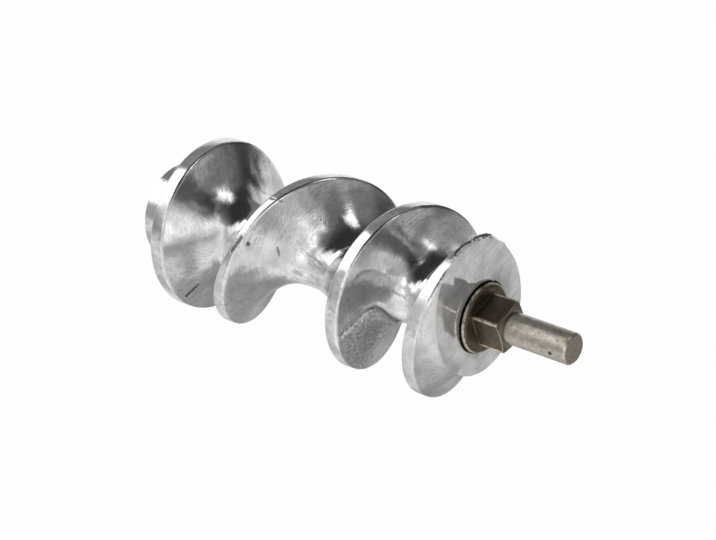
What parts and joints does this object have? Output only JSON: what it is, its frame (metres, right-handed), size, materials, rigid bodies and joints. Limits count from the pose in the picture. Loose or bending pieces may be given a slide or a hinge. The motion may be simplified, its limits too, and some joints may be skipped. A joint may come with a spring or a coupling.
{
  "type": "meat grinder auger",
  "caption": "Feed screw of a meat grinder: left-hand helical flight on a slim core, flat rear disc, round tail with a square socket, and a steel stud with square and pin for knife and plate.",
  "frame": {"origin": "centre of the tail's end face, on which the auger stands", "axes": "+Z along the screw's axis, from the tail towards the pin; -Y is the side that the picture shows"},
  "size_m": [0.0538, 0.0538, 0.1535],
  "materials": {
    "cast_aluminium": "polished casting with fine scratches",
    "stud_steel": "turned steel, stained brown"
  },
  "bodies": {
    "root": {"feed_screw": "cast_aluminium", "knife_stud": "stud_steel"}
  },
  "joints": []
}
